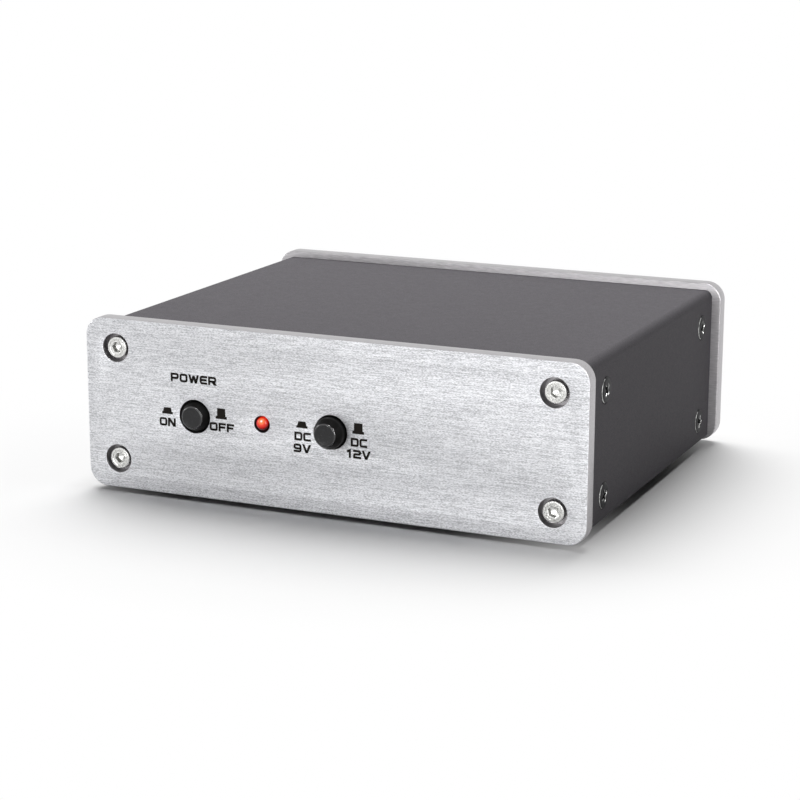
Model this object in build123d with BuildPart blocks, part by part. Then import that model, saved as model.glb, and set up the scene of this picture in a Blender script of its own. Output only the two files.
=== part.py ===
from build123d import *
import os

# A small desk-top phono preamplifier: two thick aluminium end plates, screwed to four square rails,
# hold a folded cover and a flat base sheet between them. One circuit board lies on the lower rails
# and carries the push switches, the lamp, the connectors and the amplifier.
# +X is to the right seen from the front, +Y is to the rear and +Z is up. The origin is on the
# surface that the feet stand on, under the middle of the whole object. Lengths are millimetres.

os.makedirs("parts", exist_ok=True)

# ---------------------------------------------------------------- driving dimensions: the case
plate_width = 110.0
plate_height = 36.0
plate_thickness = 3.5
plate_corner = 4.0
plate_edge = 0.4
case_length = 85.0
case_side_inset = 2.0
case_top_inset = 1.5
case_bottom_inset = 1.2
sheet = 1.2
cover_bend = 1.8
cover_lower_edge = 0.3
base_gap = 0.1
rail_width = 8.0
rail_height = 9.0
rail_edge = 0.8
foot_height = 2.0
foot_radius = 4.5
foot_edge = 0.5
foot_inset_x = 14.0
foot_inset_y = 11.0

# ---------------------------------------------------------------- driving dimensions: screws
thread_gap = 0.05
plate_screw_radius = 1.25
plate_screw_length = 6.0
plate_screw_head_radius = 2.25
plate_screw_head_height = 2.5
plate_screw_head_edge = 0.25
plate_screw_key = 2.0
plate_screw_key_depth = 1.4
plate_screw_inset_x = 7.0
plate_screw_inset_z = 6.2
plate_screw_pocket_gap = 0.75
plate_screw_sink = 0.5
plate_screw_clearance = 0.15
sheet_screw_radius = 1.5
sheet_screw_length = 5.0
sheet_screw_head_radius = 2.75
sheet_screw_rim = 0.2
sheet_screw_proud = 0.25
sheet_screw_clearance = 0.1
cross_slot_width = 0.75
cross_slot_length = 3.0
cross_slot_depth = 1.0
cover_screw_front_inset = 12.0
cover_screw_rear_inset = 7.5
cover_screw_top_drop = 8.5
base_screw_inset = 26.0
board_screw_inset = 17.0
board_screw_length = 5.0
board_screw_head_radius = 2.8
board_screw_head_height = 1.9
board_screw_head_edge = 0.6

# ---------------------------------------------------------------- driving dimensions: controls
control_height = 17.1
power_button_inset = 25.3
control_pitch = 15.4
button_hole_radius = 3.5
button_radius = 3.2
button_face_radius = 2.3
button_taper = 1.6
button_edge = 0.2
button_reach = 3.0
button_bore_depth = 5.0
button_stop_gap = 1.0
latch_travel = 1.7
full_travel = 2.5
stem_width = 3.2
stem_gap = 0.3
stem_fit = 0.02
switch_setback = 6.0
switch_width = 8.2
switch_depth = 13.0
switch_front_wall = 1.2
switch_rear_wall = 1.0
slider_width = 5.0
slider_length = 4.0
slider_gap = 0.3
solder_pin_radius = 0.35
pin_hole_radius = 0.8
switch_pin_row_pitch = 5.0
switch_pin_pitch = 2.5
lamp_radius = 1.5
lamp_flange_radius = 1.9
lamp_flange_height = 1.0
lamp_length = 5.3
lamp_hole_gap = 0.25
lamp_reach = 0.7
lamp_lead_width = 0.5
lamp_lead_pitch = 2.54
lamp_lead_setback = 1.6
lamp_lead_bend = 1.2

# ---------------------------------------------------------------- driving dimensions: board
board_thickness = 1.6
board_side_gap = 0.5
board_front_gap = 3.0
board_rear_gap = 0.5
lead_radius = 0.3
lead_hole_gap = 0.2
lead_tail = 1.4

# ---------------------------------------------------------------- driving dimensions: connectors
jack_pitch = 14.0
jack_pair_spacing = 30.0
jack_axis_height = 8.5
jack_width = 10.0
jack_depth = 9.0
jack_crown = 5.5
sleeve_radius = 4.15
sleeve_wall = 0.5
sleeve_reach = 9.5
sleeve_collar_radius = 4.45
sleeve_collar_proud = 0.25
sleeve_hole_gap = 0.15
sleeve_lip = 0.25
core_recess = 1.2
core_gap = 0.02
contact_radius = 1.9
contact_wall = 0.25
contact_recess = 0.4
contact_depth = 14.0
jack_pin_spacing = 5.0
power_inlet_rail_gap = 6.8
power_inlet_axis_height = 6.5
power_inlet_width = 9.0
power_inlet_height = 11.0
power_inlet_depth = 14.0
power_inlet_nose_radius = 4.0
power_inlet_hole_gap = 0.2
power_inlet_bore_radius = 3.2
power_inlet_bore_depth = 10.0
power_inlet_pin_radius = 1.05
power_inlet_pin_length = 9.0
power_inlet_pin_root = 2.0
power_inlet_pin_edge = 0.5
power_inlet_tab_setback = 4.5
power_inlet_tab_pitch = 4.5
power_inlet_tab_offset = 3.0
ground_rail_gap = 5.2
ground_height = 18.5
ground_stud_radius = 2.0
ground_stud_reach = 9.3
ground_stud_hole_gap = 0.1
ground_stud_edge = 0.4
ground_shoulder_width = 8.0
ground_shoulder_height = 2.0
ground_washer_radius = 4.4
ground_washer_height = 0.8
ground_washer_gap = 0.1
ground_knob_radius = 4.6
ground_knob_height = 4.0
ground_knob_gap = 0.05
ground_knob_notches = 24
ground_knob_notch_radius = 0.3
ground_tag_radius = 3.6
ground_tag_width = 3.6
ground_tag_length = 9.4
ground_tag_eye_radius = 0.9
ground_tag_eye_height = 7.5
ground_tag_thickness = 0.5
ground_nut_width = 7.0
ground_nut_height = 3.2
ground_stud_tail = 1.5

# ---------------------------------------------------------------- driving dimensions: amplifier parts
reservoir_radius = 5.0
reservoir_roof_gap = 4.3
reservoir_pitch = 13.0
reservoir_lead_pitch = 5.0
reservoir_inlet_offset = 3.0
coupler_radius = 3.15
coupler_height = 11.0
coupler_lead_pitch = 2.5
can_groove = 0.35
can_groove_height = 1.4
can_edge = 0.6
channel_pitch = 18.0
channel_setback = 18.25
coupler_pitch_y = 18.0
chip_length = 9.6
chip_width = 6.4
chip_height = 3.2
chip_notch_radius = 0.8
chip_notch_depth = 1.6
chip_socket_slot = 3.2
chip_socket_bar = 1.6
chip_socket_length = 10.2
chip_socket_width = 8.6
chip_socket_height = 4.0
chip_pin_pitch = 2.54
chip_row_pitch = 7.62
film_length = 7.2
film_width = 3.0
film_height = 6.5
film_lead_pitch = 5.0
film_edge = 0.3
film_pitch_x = 18.0
film_pitch_y = 14.0
resistor_radius = 1.15
resistor_waist = 0.95
resistor_end = 1.4
resistor_length = 6.3
resistor_lift = 0.3
resistor_lead_bend = 0.6
resistor_lead_root = 0.7
resistor_lead_pitch = 10.16
resistor_pitch = 6.0
resistor_count = 8
resistor_row_shift = 3.8
resistor_switch_gap = 6.5
regulator_reservoir_pitch = 17.0
regulator_width = 10.0
regulator_thickness = 4.5
regulator_roof_gap = 2.3
regulator_tab_thickness = 1.3
regulator_tab_height = 6.0
regulator_tab_hole_radius = 1.8
regulator_leg_height = 3.0
regulator_leg_width = 0.8
regulator_leg_pitch = 2.54

# ---------------------------------------------------------------- worked-out places
plate_bottom = foot_height - case_bottom_inset
plate_top = plate_bottom + plate_height
plate_middle = plate_bottom + plate_height / 2
case_bottom = foot_height
case_top = plate_top - case_top_inset
case_half_width = plate_width / 2 - case_side_inset
inner_half_width = case_half_width - sheet
inner_bottom = case_bottom + sheet
inner_top = case_top - sheet

overall_depth = button_reach + 2 * plate_thickness + case_length + sleeve_reach
front_face = -overall_depth / 2 + button_reach
front_inside = front_face + plate_thickness
rear_inside = front_inside + case_length
rear_face = rear_inside + plate_thickness
case_middle = (front_inside + rear_inside) / 2

rail_x = inner_half_width - rail_width / 2
lower_rail_z = inner_bottom + rail_height / 2
upper_rail_z = inner_top - rail_height / 2

board_bottom = inner_bottom + rail_height
board_top = board_bottom + board_thickness
board_front = front_inside + board_front_gap
board_rear = rear_inside - board_rear_gap
board_middle = (board_front + board_rear) / 2

plate_screw_x = plate_width / 2 - plate_screw_inset_x
plate_screw_low = plate_bottom + plate_screw_inset_z
plate_screw_high = plate_top - plate_screw_inset_z
plate_screw_heights = (plate_screw_low, plate_screw_high)
plate_screw_spots = [(x, z) for x in (-plate_screw_x, plate_screw_x) for z in plate_screw_heights]
plate_pocket_depth = plate_screw_head_height + plate_screw_sink

cover_screw_front = front_inside + cover_screw_front_inset
cover_screw_rear = rear_inside - cover_screw_rear_inset
cover_screw_high = plate_top - cover_screw_top_drop
cover_screw_heights = (plate_screw_low, cover_screw_high)
cover_screw_places = [(y, z) for y in (cover_screw_front, cover_screw_rear) for z in cover_screw_heights]
base_screw_depths = (front_inside + base_screw_inset, rear_inside - base_screw_inset)
base_screw_spots = [(x, y) for x in (-rail_x, rail_x) for y in base_screw_depths]
board_screw_depths = (front_inside + board_screw_inset, rear_inside - board_screw_inset)
board_screw_spots = [(x, y) for x in (-rail_x, rail_x) for y in board_screw_depths]

control_z = plate_bottom + control_height
button_length = button_reach + plate_thickness + switch_setback - full_travel - button_stop_gap
power_x = power_button_inset - plate_width / 2
lamp_x = power_x + control_pitch
voltage_x = lamp_x + control_pitch
switch_front = front_inside + switch_setback
switch_height = 2 * (control_z - board_top)
jack_z = board_top + jack_axis_height
power_inlet_z = board_top + power_inlet_axis_height
ground_z = plate_bottom + ground_height
power_inlet_x = power_inlet_rail_gap + rail_width / 2 - rail_x
ground_x = rail_x - rail_width / 2 - ground_rail_gap
input_pair_x = (power_inlet_x + ground_x + jack_pair_spacing) / 2
output_pair_x = input_pair_x - jack_pair_spacing

resistor_row_y = switch_front + switch_depth + resistor_switch_gap
channel_y = resistor_row_y + channel_setback
channel_x = input_pair_x
reservoir_x = power_inlet_x + reservoir_inlet_offset
reservoir_height = inner_top - reservoir_roof_gap - board_top
regulator_x = reservoir_x + regulator_reservoir_pitch
regulator_foot = board_top + regulator_leg_height
regulator_body_height = inner_top - regulator_roof_gap - regulator_tab_height - regulator_foot


on_plane = (Align.CENTER, Align.CENTER, Align.MIN)
below_plane = (Align.CENTER, Align.CENTER, Align.MAX)


def write(piece, name):
    """Label a finished piece and write it as one STEP file."""
    piece.part.label = name
    export_step(piece.part, f"parts/{name}.step")


def facing_front(depth):
    """Upright workplane at a depth: its x is X, its y is Z, and it faces the front."""
    return Plane.XZ.offset(-depth)


def facing_rear(depth):
    """Upright workplane at a depth: its x is -X, its y is Z, and it faces the rear."""
    return Plane(origin=(0, depth, 0), x_dir=(-1, 0, 0), z_dir=(0, 1, 0))


def facing_side(side, distance):
    """Upright workplane on one side of the case: its y is Z, and it faces away from the middle."""
    return Plane(origin=(side * distance, 0, 0), x_dir=(0, side, 0), z_dir=(side, 0, 0))


def facing_down(height):
    """Level workplane at a height: its x is -X, its y is Y, and it faces the floor."""
    return Plane(origin=(0, 0, height), x_dir=(-1, 0, 0), z_dir=(0, 0, -1))


# ---------------------------------------------------------------- end plates
def end_plate(outside, holes):
    """A thick end plate with rounded corners, from its workplane on the outer face, with a pocketed
    hole at each corner for a socket screw, and round holes given as (x, z, radius)."""
    with BuildPart(outside) as plate:
        with BuildSketch(outside):
            with Locations((0, plate_middle)):
                RectangleRounded(plate_width, plate_height, plate_corner)
        extrude(amount=-plate_thickness)
        chamfer(plate.faces().filter_by(Axis.Y).edges(), plate_edge)
        with Locations(*plate_screw_spots):
            CounterBoreHole(
                plate_screw_radius + plate_screw_clearance,
                plate_screw_head_radius + plate_screw_pocket_gap,
                plate_pocket_depth,
            )
        for x, z, radius in holes:
            with Locations((x, z)):
                Hole(radius)
    return plate


front_holes = [
    (power_x, control_z, button_hole_radius),
    (voltage_x, control_z, button_hole_radius),
    (lamp_x, control_z, lamp_radius + lamp_hole_gap),
]
front_plate = end_plate(facing_front(front_face), front_holes)
write(front_plate, "front_plate")

jack_places = {
    "input_left": input_pair_x - jack_pitch / 2,
    "input_right": input_pair_x + jack_pitch / 2,
    "output_left": output_pair_x - jack_pitch / 2,
    "output_right": output_pair_x + jack_pitch / 2,
}

rear_holes = [(-x, jack_z, sleeve_collar_radius + sleeve_hole_gap) for x in jack_places.values()]
rear_holes.append((-power_inlet_x, power_inlet_z, power_inlet_nose_radius + power_inlet_hole_gap))
rear_holes.append((-ground_x, ground_z, ground_stud_radius + ground_stud_hole_gap))
rear_plate = end_plate(facing_rear(rear_face), rear_holes)
write(rear_plate, "rear_plate")

# ---------------------------------------------------------------- folded cover: top and both sides
cover_hole_radius = sheet_screw_radius + sheet_screw_clearance
cover_sink_radius = sheet_screw_head_radius + sheet_screw_clearance

with BuildPart() as case_cover:
    with BuildSketch(facing_front(front_inside)):
        with Locations((0, case_top)):
            Rectangle(2 * case_half_width, case_top - case_bottom, align=(Align.CENTER, Align.MAX))
        with Locations((0, inner_top)):
            Rectangle(
                2 * inner_half_width,
                inner_top - case_bottom,
                align=(Align.CENTER, Align.MAX),
                mode=Mode.SUBTRACT,
            )
    extrude(amount=-case_length)
    long_edges = case_cover.edges().filter_by(Axis.Y)
    outer_bends = long_edges.group_by(Axis.Z)[-1]
    inner_bends = long_edges.group_by(Axis.Z)[-2]
    lower_corners = long_edges.group_by(Axis.Z)[0]
    fillet(outer_bends, cover_bend)
    fillet(inner_bends, cover_bend - sheet)
    fillet(ShapeList([lower_corners.sort_by(Axis.X)[0], lower_corners.sort_by(Axis.X)[-1]]), cover_lower_edge)
    for side in (-1, 1):
        with Locations(facing_side(side, case_half_width)):
            with Locations(*[(side * y, z) for y, z in cover_screw_places]):
                CounterSinkHole(cover_hole_radius, cover_sink_radius, sheet, 90)
write(case_cover, "case_cover")

# ---------------------------------------------------------------- flat base sheet
with BuildPart() as base_plate:
    with BuildSketch(Plane.XY.offset(case_bottom)):
        with Locations((0, case_middle)):
            Rectangle(2 * (inner_half_width - base_gap), case_length)
    extrude(amount=sheet)
    with Locations(facing_down(case_bottom)):
        with Locations(*base_screw_spots):
            CounterSinkHole(cover_hole_radius, cover_sink_radius, sheet, 90)
write(base_plate, "base_plate")


# ---------------------------------------------------------------- square rails in the four long corners
def rail(side, middle_z, is_lower):
    """A square bar along one long corner, tapped at both ends for the end plates and from the side
    for the cover. A lower bar is also tapped from below for the base and from above for the board."""
    cover_screw_z = plate_screw_low if is_lower else cover_screw_high
    end_screw_z = plate_screw_low if is_lower else plate_screw_high
    end_depth = plate_screw_length - (plate_thickness - plate_pocket_depth) + 2 * thread_gap
    side_depth = sheet_screw_length - sheet + 2 * thread_gap
    board_depth = board_screw_length - board_thickness + 2 * thread_gap
    with BuildPart() as bar:
        with BuildSketch(facing_front(front_inside)):
            with Locations((side * rail_x, middle_z)):
                Rectangle(rail_width, rail_height)
        extrude(amount=-case_length)
        chamfer(bar.edges().filter_by(Axis.Y), rail_edge)
        for end in (facing_front(front_inside), facing_rear(rear_inside)):
            with Locations(end):
                with Locations((side * plate_screw_x * end.x_dir.X, end_screw_z)):
                    Hole(plate_screw_radius + thread_gap, depth=end_depth)
        with Locations(facing_side(side, inner_half_width)):
            with Locations(*[(side * y, cover_screw_z) for y in (cover_screw_front, cover_screw_rear)]):
                Hole(sheet_screw_radius + thread_gap, depth=side_depth)
        if is_lower:
            with Locations(facing_down(inner_bottom)):
                with Locations(*[(x, y) for x, y in base_screw_spots if x * side < 0]):
                    Hole(sheet_screw_radius + thread_gap, depth=side_depth)
            with Locations(Plane.XY.offset(board_bottom)):
                with Locations(*[(x, y) for x, y in board_screw_spots if x * side > 0]):
                    Hole(sheet_screw_radius + thread_gap, depth=board_depth)
    return bar


for side, side_name in ((-1, "left"), (1, "right")):
    write(rail(side, lower_rail_z, True), f"lower_{side_name}_rail")
    write(rail(side, upper_rail_z, False), f"upper_{side_name}_rail")

# ---------------------------------------------------------------- socket screws of the end plates
with BuildPart() as socket_screw:
    Cylinder(plate_screw_head_radius, plate_screw_head_height, align=below_plane)
    chamfer(socket_screw.edges().sort_by(Axis.Z)[-1], plate_screw_head_edge)
    with BuildSketch():
        RegularPolygon(plate_screw_key / 2, 6, major_radius=False)
    extrude(amount=-plate_screw_key_depth, mode=Mode.SUBTRACT)
    with Locations((0, 0, -plate_screw_head_height)):
        Cylinder(plate_screw_radius, plate_screw_length, align=below_plane)

with BuildPart(facing_front(front_face + plate_screw_sink)) as front_plate_screws:
    with Locations(*plate_screw_spots):
        add(socket_screw.part)
write(front_plate_screws, "front_plate_screws")

with BuildPart(facing_rear(rear_face - plate_screw_sink)) as rear_plate_screws:
    with Locations(*plate_screw_spots):
        add(socket_screw.part)
write(rear_plate_screws, "rear_plate_screws")

# ---------------------------------------------------------------- countersunk cross-slot screws of the sheets
sheet_screw_neck = sheet_screw_proud - sheet_screw_rim - (sheet_screw_head_radius - sheet_screw_radius)

with BuildPart() as sheet_screw:
    with BuildSketch(Plane.XZ):
        with BuildLine():
            Polyline(
                (0, sheet_screw_proud),
                (sheet_screw_head_radius - sheet_screw_rim, sheet_screw_proud),
                (sheet_screw_head_radius, sheet_screw_proud - sheet_screw_rim),
                (sheet_screw_radius, sheet_screw_neck),
                (sheet_screw_radius, -sheet_screw_length),
                (0, -sheet_screw_length),
                close=True,
            )
        make_face()
    revolve(axis=Axis.Z)
    with BuildSketch(Plane.XY.offset(sheet_screw_proud)):
        Rectangle(cross_slot_length, cross_slot_width)
        Rectangle(cross_slot_width, cross_slot_length)
    extrude(amount=-cross_slot_depth, mode=Mode.SUBTRACT)

for side, side_name in ((-1, "left"), (1, "right")):
    with BuildPart(facing_side(side, case_half_width)) as cover_screws:
        with Locations(*[(side * y, z) for y, z in cover_screw_places]):
            add(sheet_screw.part)
    write(cover_screws, f"{side_name}_cover_screws")

with BuildPart(facing_down(case_bottom)) as base_screws:
    with Locations(*base_screw_spots):
        add(sheet_screw.part)
write(base_screws, "base_screws")

# ---------------------------------------------------------------- stick-on rubber feet
foot_x = case_half_width - foot_inset_x
for side, side_name in ((-1, "left"), (1, "right")):
    for foot_y, end_name in ((front_inside + foot_inset_y, "front"), (rear_inside - foot_inset_y, "rear")):
        with BuildPart(Plane.XY) as foot:
            with Locations((side * foot_x, foot_y)):
                Cylinder(foot_radius, foot_height, align=on_plane)
            fillet(foot.edges().sort_by(Axis.Z)[0], foot_edge)
        write(foot, f"{end_name}_{side_name}_foot")

# ---------------------------------------------------------------- places of the amplifier parts on the board
channel_spots = [(channel_x + sign * channel_pitch / 2, channel_y) for sign in (-1, 1)]
coupler_spots = [(x, y + sign * coupler_pitch_y / 2) for x, y in channel_spots for sign in (-1, 1)]
film_x_places = [channel_x + (step - 1) * film_pitch_x for step in range(3)]
film_spots = [(x, channel_y + sign * film_pitch_y / 2) for x in film_x_places for sign in (-1, 1)]
reservoir_spots = [(reservoir_x, channel_y + sign * reservoir_pitch / 2) for sign in (-1, 1)]
resistor_start = channel_x - resistor_row_shift - resistor_pitch * (resistor_count - 1) / 2
resistor_spots = [(resistor_start + step * resistor_pitch, resistor_row_y) for step in range(resistor_count)]


def pair_along_x(spots, pitch):
    """Places of the two leads of each part, spread along X."""
    return [(x + sign * pitch / 2, y) for x, y in spots for sign in (-1, 1)]


def pair_along_y(spots, pitch):
    """Places of the two leads of each part, spread along Y."""
    return [(x, y + sign * pitch / 2) for x, y in spots for sign in (-1, 1)]


def chip_pin_places(x, y):
    """Places of the eight pins of one amplifier chip."""
    rows = (x - chip_row_pitch / 2, x + chip_row_pitch / 2)
    return [(row, y + (step - 1.5) * chip_pin_pitch) for row in rows for step in range(4)]


def switch_pin_places(x):
    """Places of the six pins of one push switch."""
    middle = switch_front + switch_depth / 2
    rows = (x - switch_pin_row_pitch / 2, x + switch_pin_row_pitch / 2)
    return [(row, middle + step * switch_pin_pitch) for row in rows for step in (-1, 0, 1)]


reservoir_leads = pair_along_y(reservoir_spots, reservoir_lead_pitch)
coupler_leads = pair_along_y(coupler_spots, coupler_lead_pitch)
film_leads = pair_along_x(film_spots, film_lead_pitch)
resistor_leads = pair_along_y(resistor_spots, resistor_lead_pitch)
chip_pins = [place for x, y in channel_spots for place in chip_pin_places(x, y)]
regulator_legs = [(regulator_x + step * regulator_leg_pitch, channel_y) for step in (-1, 0, 1)]
lamp_leads = [(lamp_x + sign * lamp_lead_pitch / 2, board_front + lamp_lead_setback) for sign in (-1, 1)]
jack_pin_y = rear_inside - jack_depth / 2
jack_pins = [(x + sign * jack_pin_spacing / 2, jack_pin_y) for x in jack_places.values() for sign in (-1, 1)]
power_inlet_rear_tab = rear_inside - power_inlet_tab_setback
power_inlet_tabs = [
    (power_inlet_x, power_inlet_rear_tab),
    (power_inlet_x, power_inlet_rear_tab - power_inlet_tab_pitch),
    (power_inlet_x + power_inlet_tab_offset, power_inlet_rear_tab - power_inlet_tab_pitch / 2),
]
lead_holes = reservoir_leads + coupler_leads + film_leads + resistor_leads + chip_pins + lamp_leads
switch_pin_spots = switch_pin_places(power_x) + switch_pin_places(voltage_x)
pin_holes = switch_pin_spots + jack_pins + power_inlet_tabs + regulator_legs

# ---------------------------------------------------------------- circuit board on the lower rails
with BuildPart() as circuit_board:
    with BuildSketch(Plane.XY.offset(board_bottom)):
        with Locations((0, board_middle)):
            Rectangle(2 * (inner_half_width - board_side_gap), board_rear - board_front)
        with Locations(*lead_holes):
            Circle(lead_radius + lead_hole_gap, mode=Mode.SUBTRACT)
        with Locations(*pin_holes):
            Circle(pin_hole_radius, mode=Mode.SUBTRACT)
        with Locations(*board_screw_spots):
            Circle(sheet_screw_radius + sheet_screw_clearance, mode=Mode.SUBTRACT)
    extrude(amount=board_thickness)
write(circuit_board, "circuit_board")

with BuildPart(Plane.XY.offset(board_top)) as board_screws:
    with Locations(*board_screw_spots):
        Cylinder(board_screw_head_radius, board_screw_head_height, align=on_plane)
        Cylinder(sheet_screw_radius, board_screw_length, align=below_plane)
    fillet(board_screws.edges().group_by(Axis.Z)[-1], board_screw_head_edge)
    with BuildSketch(Plane.XY.offset(board_top + board_screw_head_height)):
        with Locations(*board_screw_spots):
            Rectangle(cross_slot_length, cross_slot_width)
            Rectangle(cross_slot_width, cross_slot_length)
    extrude(amount=-cross_slot_depth, mode=Mode.SUBTRACT)
write(board_screws, "board_screws")


# ---------------------------------------------------------------- push switches and their buttons
def push_switch(x, pressed, name):
    """One latching push switch at x: housing, slider with its stem, and button cap. pressed is how
    far the button stands in from its outer stop."""
    cavity_front = switch_front + switch_front_wall
    cavity_length = switch_depth - switch_front_wall - switch_rear_wall
    slider_front = cavity_front + slider_gap + pressed
    cap_front = front_face - button_reach + pressed
    cap_rear = cap_front + button_length
    stem_front = cap_rear - button_bore_depth + stem_gap

    with BuildPart() as housing:
        with BuildSketch(facing_front(switch_front)):
            with Locations((x, control_z)):
                Rectangle(switch_width, switch_height)
        extrude(amount=-switch_depth)
        with BuildSketch(facing_front(cavity_front)):
            with Locations((x, control_z)):
                Rectangle(slider_width + 2 * slider_gap, slider_width + 2 * slider_gap)
        extrude(amount=-cavity_length, mode=Mode.SUBTRACT)
        with BuildSketch(facing_front(switch_front)):
            with Locations((x, control_z)):
                Rectangle(stem_width + 2 * stem_gap, stem_width + 2 * stem_gap)
        extrude(amount=-switch_front_wall, mode=Mode.SUBTRACT)
    write(housing, f"{name}_switch_housing")

    with BuildPart() as slider:
        with BuildSketch(facing_front(slider_front)):
            with Locations((x, control_z)):
                Rectangle(slider_width, slider_width)
        extrude(amount=-slider_length)
        with BuildSketch(facing_front(stem_front)):
            with Locations((x, control_z)):
                Rectangle(stem_width, stem_width)
        extrude(amount=stem_front - slider_front)
    write(slider, f"{name}_switch_slider")

    with BuildPart(facing_front(cap_front)) as cap:
        with Locations((x, control_z)):
            Cone(button_radius, button_face_radius, button_taper, align=below_plane)
        with Locations((x, control_z, -button_taper)):
            Cylinder(button_radius, button_length - button_taper, align=below_plane)
        fillet(cap.edges().sort_by(Axis.Y)[0], button_edge)
        with BuildSketch(facing_front(cap_rear)):
            with Locations((x, control_z)):
                Rectangle(stem_width + 2 * stem_fit, stem_width + 2 * stem_fit)
        extrude(amount=button_bore_depth, mode=Mode.SUBTRACT)
    write(cap, f"{name}_button")


push_switch(power_x, latch_travel, "power")
push_switch(voltage_x, 0.0, "voltage")

with BuildPart(Plane.XY.offset(board_top)) as switch_pins:
    with Locations(*switch_pin_spots):
        Cylinder(solder_pin_radius, board_thickness + lead_tail, align=below_plane)
write(switch_pins, "switch_pins")

# ---------------------------------------------------------------- lamp with its two bent leads
lamp_tip = front_face - lamp_reach
lamp_back = lamp_tip + lamp_length

with BuildPart(facing_front(lamp_back)) as lamp_lens:
    with Locations((lamp_x, control_z)):
        Cylinder(lamp_flange_radius, lamp_flange_height, align=on_plane)
        Cylinder(lamp_radius, lamp_length - lamp_radius, align=on_plane)
    with Locations((lamp_x, control_z, lamp_length - lamp_radius)):
        Sphere(lamp_radius)
write(lamp_lens, "lamp_lens")

with BuildPart() as lamp_wires:
    for lead_x, lead_y in lamp_leads:
        with BuildLine():
            wire_path = FilletPolyline(
                (lead_x, lamp_back, control_z),
                (lead_x, lead_y, control_z),
                (lead_x, lead_y, board_bottom - lead_tail),
                radius=lamp_lead_bend,
            )
        with BuildSketch(Plane(origin=wire_path @ 0, z_dir=wire_path % 0)):
            Circle(lamp_lead_width / 2)
        sweep(path=wire_path)
write(lamp_wires, "lamp_leads")

# ---------------------------------------------------------------- phono sockets
contact_end = rear_face + sleeve_reach - core_recess - contact_recess

for place, jack_x in jack_places.items():
    spot = (-jack_x, jack_z)

    with BuildPart(facing_rear(rear_inside)) as jack_body:
        with BuildSketch(facing_rear(rear_inside)):
            with Locations((-jack_x, board_top)):
                Rectangle(jack_width, jack_axis_height + jack_crown, align=(Align.CENTER, Align.MIN))
        extrude(amount=-jack_depth)
        with Locations(spot):
            Cylinder(
                sleeve_radius - sleeve_wall - core_gap,
                plate_thickness + sleeve_reach - core_recess,
                align=on_plane,
            )
        with Locations((-jack_x, jack_z, plate_thickness + sleeve_reach - core_recess)):
            Hole(contact_radius, depth=contact_depth + contact_recess)
    write(jack_body, f"{place}_jack_body")

    with BuildPart(facing_rear(rear_inside)) as sleeve:
        with Locations(spot):
            Cylinder(sleeve_collar_radius, plate_thickness + sleeve_collar_proud, align=on_plane)
            Cylinder(sleeve_radius, plate_thickness + sleeve_reach, align=on_plane)
        fillet(sleeve.edges().sort_by(Axis.Y)[-1], sleeve_lip)
        with Locations(spot):
            Hole(sleeve_radius - sleeve_wall)
    write(sleeve, f"{place}_jack_sleeve")

with BuildPart(facing_rear(contact_end)) as jack_contacts:
    with Locations(*[(-x, jack_z) for x in jack_places.values()]):
        Cylinder(contact_radius - core_gap, contact_depth, align=below_plane)
        Cylinder(
            contact_radius - core_gap - contact_wall,
            contact_depth - contact_wall,
            align=below_plane,
            mode=Mode.SUBTRACT,
        )
write(jack_contacts, "jack_contacts")

with BuildPart(Plane.XY.offset(board_top)) as jack_board_pins:
    with Locations(*jack_pins):
        Cylinder(solder_pin_radius, board_thickness + lead_tail, align=below_plane)
write(jack_board_pins, "jack_board_pins")

# ---------------------------------------------------------------- direct-current power inlet
inlet_spot = (-power_inlet_x, power_inlet_z)

with BuildPart(facing_rear(rear_inside)) as power_inlet_body:
    with BuildSketch(facing_rear(rear_inside)):
        with Locations((-power_inlet_x, board_top)):
            Rectangle(power_inlet_width, power_inlet_height, align=(Align.CENTER, Align.MIN))
    extrude(amount=-power_inlet_depth)
    with Locations(inlet_spot):
        Cylinder(power_inlet_nose_radius, plate_thickness, align=on_plane)
    with Locations((-power_inlet_x, power_inlet_z, plate_thickness)):
        Hole(power_inlet_bore_radius, depth=power_inlet_bore_depth)
        Hole(power_inlet_pin_radius + core_gap, depth=power_inlet_bore_depth + power_inlet_pin_root)
write(power_inlet_body, "power_inlet_body")

with BuildPart(facing_rear(rear_face - power_inlet_bore_depth + power_inlet_pin_length)) as power_inlet_pin:
    with Locations(inlet_spot):
        Cylinder(
            power_inlet_pin_radius,
            power_inlet_pin_length + power_inlet_pin_root,
            align=below_plane,
        )
    fillet(power_inlet_pin.edges().sort_by(Axis.Y)[-1], power_inlet_pin_edge)
write(power_inlet_pin, "power_inlet_pin")

with BuildPart(Plane.XY.offset(board_top)) as power_inlet_tab_set:
    with Locations(*power_inlet_tabs):
        Cylinder(solder_pin_radius, board_thickness + lead_tail, align=below_plane)
write(power_inlet_tab_set, "power_inlet_tabs")

# ---------------------------------------------------------------- ground terminal
ground_spot = (-ground_x, ground_z)
ground_inside_reach = ground_tag_thickness + ground_nut_height + ground_stud_tail
washer_seat = rear_face + ground_shoulder_height + ground_washer_gap
knob_seat = washer_seat + ground_washer_height + ground_washer_gap

with BuildPart(facing_rear(rear_face + ground_stud_reach)) as ground_stud:
    with Locations(ground_spot):
        Cylinder(
            ground_stud_radius,
            ground_stud_reach + plate_thickness + ground_inside_reach,
            align=below_plane,
        )
    chamfer(ground_stud.edges().sort_by(Axis.Y)[-1], ground_stud_edge)
write(ground_stud, "ground_stud")

with BuildPart() as ground_shoulder:
    with BuildSketch(facing_rear(rear_face)):
        with Locations(ground_spot):
            RegularPolygon(ground_shoulder_width / 2, 6, major_radius=False)
            Circle(ground_stud_radius + thread_gap, mode=Mode.SUBTRACT)
    extrude(amount=ground_shoulder_height)
write(ground_shoulder, "ground_shoulder")

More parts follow.
